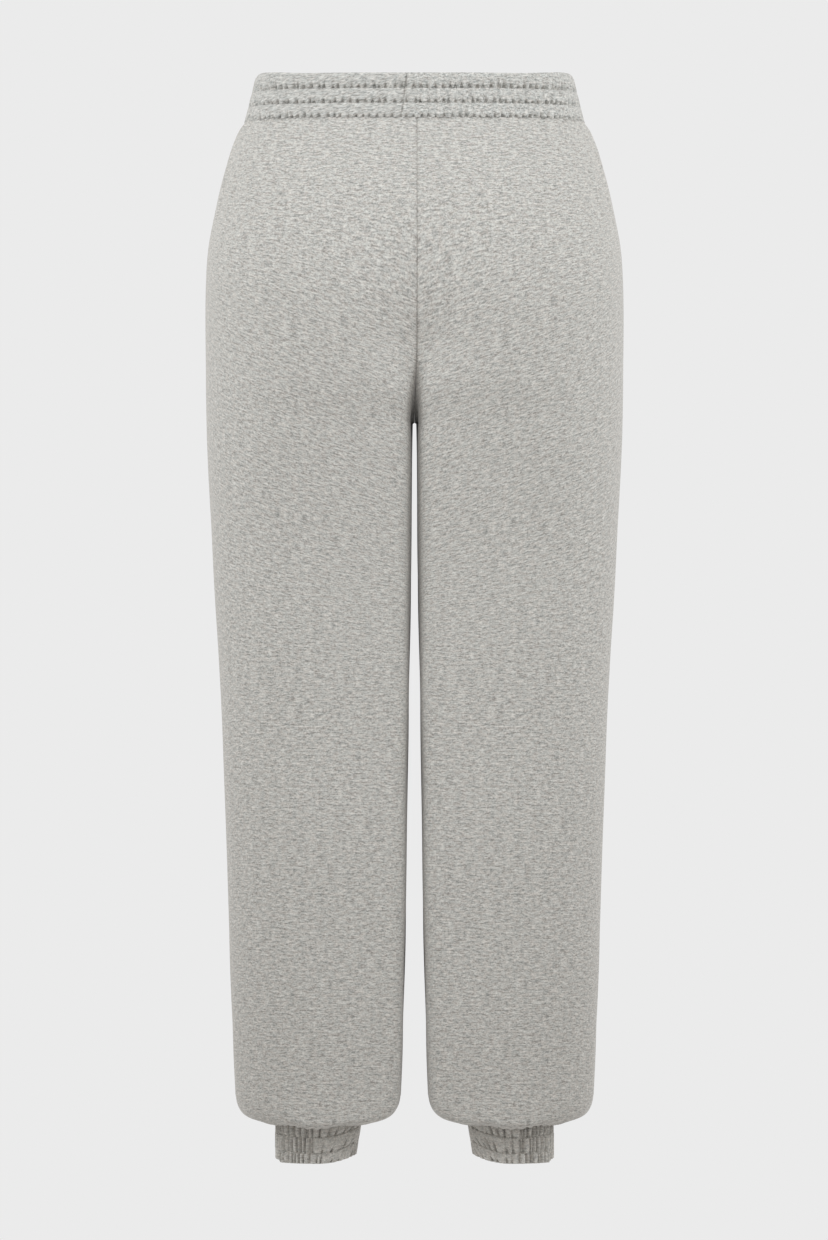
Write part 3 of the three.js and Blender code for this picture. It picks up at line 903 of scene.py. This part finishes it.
@dataclass
class Waistband(Band):
    """The waistband: three elastic channels, folded over at the top and joined near the back seam."""

    body: Body = field(default_factory=Body)
    height: float = 41 * MM
    channels: int = 3
    gathers: int = 132
    points: int = 1320
    seed: int = 30
    pucker_depth: float = 3.0 * MM
    wall: float = 2.4 * MM
    crease_width: float = 0.0040
    scallop: float = 0.7 * MM
    profile: tuple[Channel, ...] = (
        Channel(0.0, 0.8 * MM, 0.9),
        Channel(0.1, 1.7 * MM, 0.35),
        Channel(0.3, 2.1 * MM, 0.3),
        Channel(0.6, 2.3 * MM, 0.35),
        Channel(0.78, 2.4 * MM, 0.7),
        Channel(0.9, 2.2 * MM, 1.6),
        Channel(1.0, 1.1 * MM, 1.6),
    )
    corner_lift: float = 2.8 * MM
    edge_top: float = 2.6 * MM
    edge_bottom: float = 0.8 * MM
    join_top: float = -7 * MM
    join_bottom: float = -12 * MM
    join_width: float = 0.8 * MM
    join_depth: float = 1.8 * MM

    def build(self) -> bpy.types.Object:
        """Makes the waistband.

        Returns:
            The object.
        """
        shares = np.linspace(0, 1, self.points + 1)
        top, step = self.height / 2, self.height / self.channels
        at = np.array([p.at for p in self.profile])
        outs = np.array([p.out for p in self.profile])
        puckers = np.array([p.pucker for p in self.profile])
        rows, uvs = [], []
        for channel in range(self.channels):
            down = np.linspace(0, 1, self.rows_per_channel + 1)[0 if channel == 0 else 1:]
            for t, depth in zip(down, self.creases(shares, down, channel)):
                z = top - (channel + t) * step
                ring = self.body.ring(z, shares)
                out = np.interp(t, at, outs)
                sides = np.abs(ring[:, 0]) / np.abs(ring[:, 0]).max()
                if channel == 0:
                    out = out if t > 0.3 else out - 1.1 * MM * (1 - t / 0.3) ** 2
                crease = self.pucker_depth * np.interp(t, at, puckers) * depth
                edge = self.edge_top + (self.edge_bottom - self.edge_top) * (channel + t) / self.channels
                relief = out + (edge - out) * smooth(0.9, 1.0, sides) * min(channel + t, 1)
                relief += self.join_relief(ring, t + channel) - crease
                relief = np.maximum(relief, 0.5 * MM - self.wall)
                normal = self.level_normals(ring)
                row = ring + normal * relief[:, None]
                line = bell(min(t, 1 - t) * step, 2.2 * MM) if channel + t > 0.5 else 0.0
                row[:, 2] -= self.scallop * line * (1 - np.clip(1.4 * depth, 0, 1))
                corner = smooth(0.55, 1.0, sides) ** 2
                row[:, 2] += self.corner_lift * corner * max(1 - channel - t, 0)
                rows.append(row)
                length = np.linalg.norm(np.diff(ring, axis=0), axis=1).sum()
                uvs.append(np.stack([shares * length * 1.35, np.full_like(shares, z)], axis=1))
        outer, uv = np.array(rows), np.array(uvs)
        pick = np.arange(0, self.points + 1, 4)
        inner = []
        for row in (0, len(rows) // 3, 2 * len(rows) // 3, len(rows) - 1):
            ring = self.body.ring(outer[row, 0, 2], shares[pick])
            inner.append(ring - self.level_normals(ring) * self.wall)
        uv_inner = uv[np.ix_([0, len(rows) // 3, 2 * len(rows) // 3, len(rows) - 1], pick)]
        cloth = Cloth("waistband_cloth", "waistband", "waist_cloth", outer, np.array(inner), uv, uv_inner)
        piece = cloth.build()
        return piece

    @staticmethod
    def level_normals(ring: np.ndarray) -> np.ndarray:
        """Level outward normals of a closed ring.

        Args:
            ring: the ring's points, the last one on the first.

        Returns:
            A normal at each point.
        """
        along = np.roll(ring[:-1], -1, axis=0) - np.roll(ring[:-1], 1, axis=0)
        normal = np.stack([along[:, 1], -along[:, 0], np.zeros(len(along))], axis=1)
        normal /= np.linalg.norm(normal, axis=1, keepdims=True)
        normal = np.vstack([normal, normal[:1]])
        middle = ring.mean(axis=0)
        return normal * np.sign(((ring - middle) * normal).sum(axis=1))[:, None]

    def join_relief(self, ring: np.ndarray, down: float) -> np.ndarray:
        """The groove where the band's ends are sewn together, with the lap beside it.

        Args:
            ring: the ring's points.
            down: channels down from the top edge.

        Returns:
            The relief at each point.
        """
        x = self.join_top + (self.join_bottom - self.join_top) * down / self.channels
        offset = np.where(ring[:, 1] < 0, ring[:, 0] - x, 1.0)
        lap = bell(offset - 4.5 * self.join_width, 2.2 * self.join_width)
        return -self.join_depth * bell(offset, self.join_width) + 0.5 * self.join_depth * lap


@dataclass(frozen=True)
class Line:
    """One stitch line of a cuff: how far down it is, and its rise on the inner and the outer side."""

    below: float
    inner: float
    outer: float


@dataclass
class Cuff(Band):
    """An ankle cuff: gathered elastic channels whose lower edge rises towards the other leg."""

    side: Side = Side.RIGHT
    x: float = 89.6 * MM
    y: float = -8 * MM
    half_width: float = 38 * MM
    half_depth: float = 37 * MM
    top: float = -936 * MM
    height: float = 44 * MM
    gathers: int = 37
    points: int = 700
    seed: int = 70
    pucker_depth: float = 4.2 * MM
    wall: float = 3.0 * MM
    crease_width: float = 0.011
    least_rise: float = 0.15
    full_rise: float = 0.9
    lines: tuple[Line, ...] = (
        Line(0, 0, 0),
        Line(19.5 * MM, 9.5 * MM, 2.6 * MM),
        Line(34.5 * MM, 11.5 * MM, 2.2 * MM),
        Line(44 * MM, 7.5 * MM, 0.4 * MM),
    )
    corner_lift: float = 3.4 * MM
    spread: float = 2.2 * MM
    taper: float = 5.2 * MM
    profile: tuple[Channel, ...] = (
        Channel(0.0, -0.3 * MM, 0.7),
        Channel(0.08, 1.1 * MM, 0.9),
        Channel(0.4, 1.6 * MM, 1.0),
        Channel(0.7, 1.6 * MM, 1.1),
        Channel(0.92, 1.2 * MM, 1.1),
        Channel(1.0, -0.3 * MM, 0.7),
    )
    edge_out: float = 1.2 * MM
    crowd_from: float = 0.24
    crowd_to: float = 0.64
    crowded: float = 1.9
    leaning: float = 0.035

    def places(self, rng: np.random.Generator) -> np.ndarray:
        """Where a channel's creases are: crowded on the outer half, and wider apart elsewhere.

        Args:
            rng: the random numbers.

        Returns:
            Each crease's share of the way round.
        """
        share = np.linspace(0, 1, 401)
        crowd = smooth(0, 0.05, share - self.crowd_from) * smooth(0, 0.08, self.crowd_to - share)
        density = 1 + (self.crowded - 1) * crowd
        along = np.cumsum(density) / density.sum()
        even = (np.arange(self.gathers) + 0.5 + rng.uniform(-0.38, 0.38, self.gathers)) / self.gathers
        return np.interp(even, along, share)

    def least_rises(self, places: np.ndarray) -> np.ndarray:
        """Creases run the whole height of a channel on the outer half, and are short elsewhere."""
        crowd = smooth(-0.03, 0.05, places - self.crowd_from) * smooth(-0.03, 0.05, self.crowd_to - places)
        return self.least_rise + (self.full_rise - self.least_rise) * crowd

    def leans(self, places: np.ndarray) -> np.ndarray:
        """Creases on the inner half lean towards the other leg as they rise."""
        return self.leaning * (bell(places - 0.08, 0.12) - 0.5 * bell(places - 0.92, 0.1))

    def inward(self, below: float) -> float:
        """How far the cuff's inner side moves in at a depth below its top: first out, then in."""
        return self.taper * (below / self.height) ** 2 - self.spread * smooth(2 * MM, 10 * MM, below)

    def ring(self, shares: np.ndarray) -> np.ndarray:
        """The cuff's level outline.

        Args:
            shares: how far round the points are, from the inner side.

        Returns:
            The points.
        """
        angle = np.linspace(0, 2 * math.pi, 721)
        x, y = np.cos(angle), np.sin(angle)
        power = 2 / 2.1
        loop = np.stack(
            [
                self.x - np.sign(x) * np.abs(x) ** power * self.half_width,
                self.y - np.sign(y) * np.abs(y) ** power * self.half_depth,
                np.zeros_like(angle),
            ],
            axis=1,
        )
        return resample(loop, shares)

    def build(self) -> bpy.types.Object:
        """Makes the cuff.

        Returns:
            The object.
        """
        shares = np.linspace(0, 1, self.points + 1)
        base = self.ring(shares)
        normal = Waistband.level_normals(base)
        at = np.array([p.at for p in self.profile])
        outs = np.array([p.out for p in self.profile])
        puckers = np.array([p.pucker for p in self.profile])
        rows, uvs = [], []
        outward = np.clip((base[:, 0] - self.x) / self.half_width, -1, 1)
        inner_side = np.clip(-outward, 0, 1) ** 2
        outer_side = np.clip(outward, 0, 1) ** 2
        corner = smooth(0.88, 1.0, outward)
        edge = smooth(0.86, 0.98, np.abs(outward))
        first_seed = 0 if self.side is Side.RIGHT else 5
        for channel in range(len(self.lines) - 1):
            down = np.linspace(0, 1, self.rows_per_channel + 1)[0 if channel == 0 else 1:]
            high, low = self.lines[channel], self.lines[channel + 1]
            for t, depth in zip(down, self.creases(shares, down, channel + first_seed)):
                below = high.below + (low.below - high.below) * t
                start = smooth(0.0, 3 * MM, below)
                last = channel == len(self.lines) - 2
                out = np.interp(t * (0.93 if last else 1), at, outs)
                out = (out + (self.edge_out - out) * edge) * start
                crease = self.pucker_depth * np.interp(t, at, puckers) * depth * start
                relief = np.maximum(out - crease, 0.5 * MM - self.wall)
                row = base + normal * relief[:, None]
                rise = (high.inner + (low.inner - high.inner) * t) * inner_side
                rise += (high.outer + (low.outer - high.outer) * t) * outer_side
                rise += self.corner_lift * corner * (below / self.height) ** 3
                row[:, 0] += self.inward(below) * inner_side
                row[:, 2] = self.top - below + rise
                rows.append(row)
                uvs.append(np.stack([shares * 0.24 * 1.8, np.full_like(shares, -below)], axis=1))
        outer, uv = np.array(rows), np.array(uvs)
        pick = np.arange(0, self.points + 1, 4)
        inner = []
        for row, below in ((0, 0.0), (len(rows) // 3, self.lines[1].below), (len(rows) - 1, self.height)):
            ring = base[pick] - normal[pick] * self.wall
            ring[:, 0] += self.inward(below) * inner_side[pick]
            ring[:, 2] = outer[row, pick, 2]
            inner.append(ring)
        words = f"cuff_{self.side.name.lower()}"
        uv_inner = uv[np.ix_([0, len(rows) // 3, len(rows) - 1], pick)]
        cloth = Cloth(f"{words}_cloth", words, "cuff_cloth", outer, np.array(inner), uv, uv_inner)
        piece = cloth.build(mirror=self.side is Side.LEFT)
        return piece


class Value:
    """A number socket of a shader, on which Python's operators add Math nodes."""

    def __init__(self, tree: "Tree", socket: Any) -> None:
        """Keeps the tree and the socket."""
        self.tree = tree
        self.socket = socket

    def _math(self, operation: str, *others: Any) -> "Value":
        """Adds a Math node on this value and others."""
        return self.tree.math(operation, self, *others)

    def __add__(self, other: Any) -> "Value":
        """The sum."""
        return self._math("ADD", other)

    __radd__ = __add__

    def __mul__(self, other: Any) -> "Value":
        """The product."""
        return self._math("MULTIPLY", other)

    __rmul__ = __mul__

    def __sub__(self, other: Any) -> "Value":
        """The difference."""
        return self._math("SUBTRACT", other)

    def __rsub__(self, other: Any) -> "Value":
        """The difference from a number."""
        return self.tree.math("SUBTRACT", other, self)

    def clamp(self) -> "Value":
        """The value held between 0 and 1."""
        return self.tree.math("MINIMUM", self.tree.math("MAXIMUM", self, 0.0), 1.0)


class Tree:
    """A material's node tree, with one method that adds any node."""

    def __init__(self, name: str) -> None:
        """Makes a new material with an empty tree.

        Args:
            name: the material's name.
        """
        self.material = bpy.data.materials.new(name)
        self.material.use_nodes = True
        self.nodes = self.material.node_tree.nodes
        self.links = self.material.node_tree.links
        self.nodes.clear()

    def node(self, kind: str, settings: dict[str, Any] | None = None, **sockets: Any) -> Any:
        """Adds a node.

        Args:
            kind: the node's type, without the leading ShaderNode.
            settings: attributes that are set first.
            sockets: values or links of its input sockets, with _ for a space.

        Returns:
            The node.
        """
        node = self.nodes.new(f"ShaderNode{kind}")
        for name, value in (settings or {}).items():
            setattr(node, name, value)
        for name, value in sockets.items():
            self.feed(node, name.replace("_", " "), value)
        return node

    def feed(self, node: Any, socket: Any, value: Any) -> None:
        """Sets or links one input of a node.

        Args:
            node: the node.
            socket: the input's name or number.
            value: a number, a colour, a Value or an output socket.
        """
        target = node.inputs[socket]
        if isinstance(value, Value):
            self.links.new(value.socket, target)
        elif isinstance(value, bpy.types.NodeSocket):
            self.links.new(value, target)
        else:
            target.default_value = value

    def math(self, operation: str, *values: Any) -> Value:
        """Adds a Math node.

        Args:
            operation: its operation.
            values: numbers or Values.

        Returns:
            Its result.
        """
        node = self.node("Math", {"operation": operation})
        for number, value in enumerate(values):
            self.feed(node, number, value)
        return Value(self, node.outputs[0])

    def mix(self, share: Any, first: Any, second: Any) -> Any:
        """Mixes two colours.

        Args:
            share: how much of the second.
            first: a colour or a colour socket.
            second: a colour or a colour socket.

        Returns:
            The mixed colour's socket.
        """
        node = self.node("Mix", {"data_type": "RGBA"})
        self.feed(node, 0, share)
        self.feed(node, 6, first)
        self.feed(node, 7, second)
        return node.outputs[2]

    def noise(self, where: Any, scale: float, detail: float, roughness: float = 0.5) -> Value:
        """Adds a Noise node at unit scale and gives its value.

        Args:
            where: the coordinates' socket.
            scale: the noise's scale.
            detail: octaves.
            roughness: strength of the finer octaves.

        Returns:
            The noise, from 0 to 1.
        """
        node = self.node("TexNoise", {}, Vector=where, Scale=scale, Detail=detail, Roughness=roughness)
        return Value(self, node.outputs[0])

    def stretched(self, across: float, along: float) -> Any:
        """The piece's cloth coordinates, in units of a feature's size.

        Args:
            across: a feature's width in metres.
            along: a feature's height in metres.

        Returns:
            The coordinates' socket.
        """
        uv = self.node("UVMap", {"uv_map": UV_NAME})
        mapping = self.node("Mapping", {}, Vector=uv.outputs[0], Scale=(1 / across, 1 / along, 1))
        return mapping.outputs[0]


Colour = tuple[float, float, float, float]


@dataclass(frozen=True)
class HeatherKnit:
    """Brushed heather jersey: pale and dark fibres spun together, in courses that run across the panel."""

    name: str
    pale: Colour
    dark: Colour
    warm: Colour = (0.56, 0.50, 0.44, 1)
    cool: Colour = (0.47, 0.52, 0.50, 1)
    contrast: float = 1.0
    streak: tuple[float, float] = (3.5 * MM, 1.35 * MM)
    course: tuple[float, float] = (9 * MM, 1.9 * MM)
    loop: tuple[float, float] = (1.5 * MM, 1.1 * MM)
    bump: float = 0.35
    sheen: float = 0.32
    fuzz: Colour = (1.0, 0.955, 0.9, 1)

    def material(self) -> bpy.types.Material:
        """Builds the finish.

        Returns:
            The material.
        """
        tree = Tree(self.name)
        streaks = tree.noise(tree.stretched(*self.streak), 1.0, 2.0, 0.6)
        courses = tree.noise(tree.stretched(*self.course), 1.0, 0.0)
        loops = tree.noise(tree.stretched(*self.loop), 1.0, 1.0, 0.5)
        clouds = tree.noise(tree.stretched(9 * MM, 5 * MM), 1.0, 1.0, 0.5)
        tint = tree.noise(tree.stretched(7 * MM, 4.3 * MM), 1.3, 1.0, 0.5)
        fibre = (streaks - 0.5) * 1.9 + (courses - 0.5) * 0.75 + (loops - 0.5) * 1.1
        share = (0.5 + fibre * self.contrast + (clouds - 0.5) * 0.3).clamp()
        colour = tree.mix(share, self.dark, self.pale)
        hue = tree.mix(((tint - 0.42) * 5).clamp(), self.cool, self.warm)
        colour = tree.mix(0.12, colour, hue)
        height = streaks * 0.6 + loops * 0.4
        bump = tree.node("Bump", {}, Strength=self.bump, Distance=0.6 * MM, Height=height)
        shader = tree.node("BsdfPrincipled", {}, Base_Color=colour, Roughness=0.92, Normal=bump.outputs[0])
        shader.inputs["Specular IOR Level"].default_value = 0.2
        shader.inputs["Sheen Weight"].default_value = self.sheen
        shader.inputs["Sheen Roughness"].default_value = 0.5
        shader.inputs["Sheen Tint"].default_value = self.fuzz
        output = tree.node("OutputMaterial")
        tree.links.new(shader.outputs[0], output.inputs[0])
        return tree.material


@dataclass(frozen=True)
class Plain:
    """One plain colour with one roughness."""

    name: str
    colour: Colour
    roughness: float = 0.9

    def material(self) -> bpy.types.Material:
        """Builds the finish.

        Returns:
            The material.
        """
        tree = Tree(self.name)
        shader = tree.node("BsdfPrincipled", {}, Base_Color=self.colour, Roughness=self.roughness)
        output = tree.node("OutputMaterial")
        tree.links.new(shader.outputs[0], output.inputs[0])
        return tree.material


@dataclass
class Studio:
    """The pale floor, the soft lights and the camera."""

    distance: float = 9.0
    frame_height: float = 1240 * 0.924 * MM
    camera_x: float = -0.46 * MM
    camera_z: float = -480 * MM
    floor_z: float = -1.5
    floor_radius: float = 3.2
    backdrop: float = 0.831
    light_color: tuple[float, float, float] = (0.86, 0.935, 1.0)
    sensor: float = 36.0

    def build(self) -> None:
        """Makes the floor, world, lights and camera."""
        bpy.ops.object.select_all(action="DESELECT")
        bpy.ops.mesh.primitive_circle_add(
            vertices=96, radius=self.floor_radius, fill_type="NGON", location=(0, 0, self.floor_z)
        )
        floor = bpy.context.active_object
        floor.name = "studio_floor"
        bpy.ops.object.transform_apply(location=True, rotation=True, scale=True)
        floor.data.materials.append(Plain("pale_floor", (0.8, 0.8, 0.8, 1)).material())
        world = bpy.data.worlds.new("studio_backdrop")
        world.use_nodes = True
        background = world.node_tree.nodes["Background"]
        background.inputs["Color"].default_value = (self.backdrop, self.backdrop, self.backdrop, 1)
        background.inputs["Strength"].default_value = 1.0
        bpy.context.scene.world = world
        self.soft_box("key_light", (0.0, -1.7, 1.1), (0.0, 0.0, -0.05), 1.2, 1.8)
        self.soft_box("left_light", (-1.7, -0.8, 0.6), (0.0, 0.0, -0.25), 1.0, 3.1)
        self.soft_box("right_light", (1.7, -0.8, 0.6), (0.0, 0.0, -0.25), 1.0, 3.1)
        self.soft_box("front_light", (0.0, -2.6, -0.4), (0.0, 0.0, -0.45), 0.9, 0.5, 40)
        self.camera()
        bpy.context.scene.view_settings.view_transform = "Standard"

    def soft_box(
        self,
        name: str,
        place: Sequence[float],
        target: Sequence[float],
        size: float,
        watts: float,
        spread: float = 60,
    ) -> None:
        """Adds a square soft light that points at a target.

        Args:
            name: the light's name.
            place: where it stands.
            target: what it points at.
            size: its side.
            watts: its power.
            spread: how wide its beam is, in degrees.
        """
        light = bpy.data.lights.new(name, "AREA")
        light.size = size
        light.energy = watts
        light.color = self.light_color
        light.spread = math.radians(spread)
        lamp = bpy.data.objects.new(name, light)
        lamp.location = place
        lamp.rotation_euler = (Vector(target) - Vector(place)).to_track_quat("-Z", "Y").to_euler()
        bpy.context.collection.objects.link(lamp)

    def camera(self) -> None:
        """Adds a level camera, far enough for the photograph's flat perspective."""
        data = bpy.data.cameras.new("camera")
        data.sensor_width = self.sensor
        data.lens = self.sensor * self.distance / self.frame_height
        data.clip_end = 60
        camera = bpy.data.objects.new("camera", data)
        camera.location = (self.camera_x, -self.distance, self.camera_z)
        camera.rotation_euler = (math.pi / 2, 0, 0)
        bpy.context.collection.objects.link(camera)
        bpy.context.scene.camera = camera


def main() -> None:
    """Builds and dresses the sweatpants."""
    logging.basicConfig(level=logging.INFO, format="%(message)s")
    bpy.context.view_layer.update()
    body = Body()
    Studio().build()
    leg_cloth = HeatherKnit("leg_cloth", (0.53, 0.497, 0.453, 1), (0.153, 0.142, 0.129, 1))
    waist_cloth = HeatherKnit(
        "waist_cloth", (0.53, 0.504, 0.465, 1), (0.153, 0.146, 0.134, 1), contrast=1.2
    )
    # Painted light: the cuffs use the leg's heather cloth made about 15% paler, to lift the gathered cuff
    # channels that lie in the hem's shade.
    cuff_cloth = HeatherKnit("cuff_cloth", (0.61, 0.572, 0.522, 1), (0.19, 0.178, 0.16, 1), contrast=0.9)
    leg_finish = leg_cloth.material()
    waist_finish = waist_cloth.material()
    cuff_painted_light_finish = cuff_cloth.material()
    for panel in Leg(body).build():
        panel.data.materials.append(leg_finish)
        LOG.info("%s: %d faces", panel.name, len(panel.data.polygons))
    band = Waistband(body=body).build()
    band.data.materials.append(waist_finish)
    LOG.info("%s: %d faces", band.name, len(band.data.polygons))
    for side in Side:
        cuff = Cuff(side=side).build()
        cuff.data.materials.append(cuff_painted_light_finish)
        LOG.info("%s: %d faces", cuff.name, len(cuff.data.polygons))


if __name__ == "__main__":
    main()
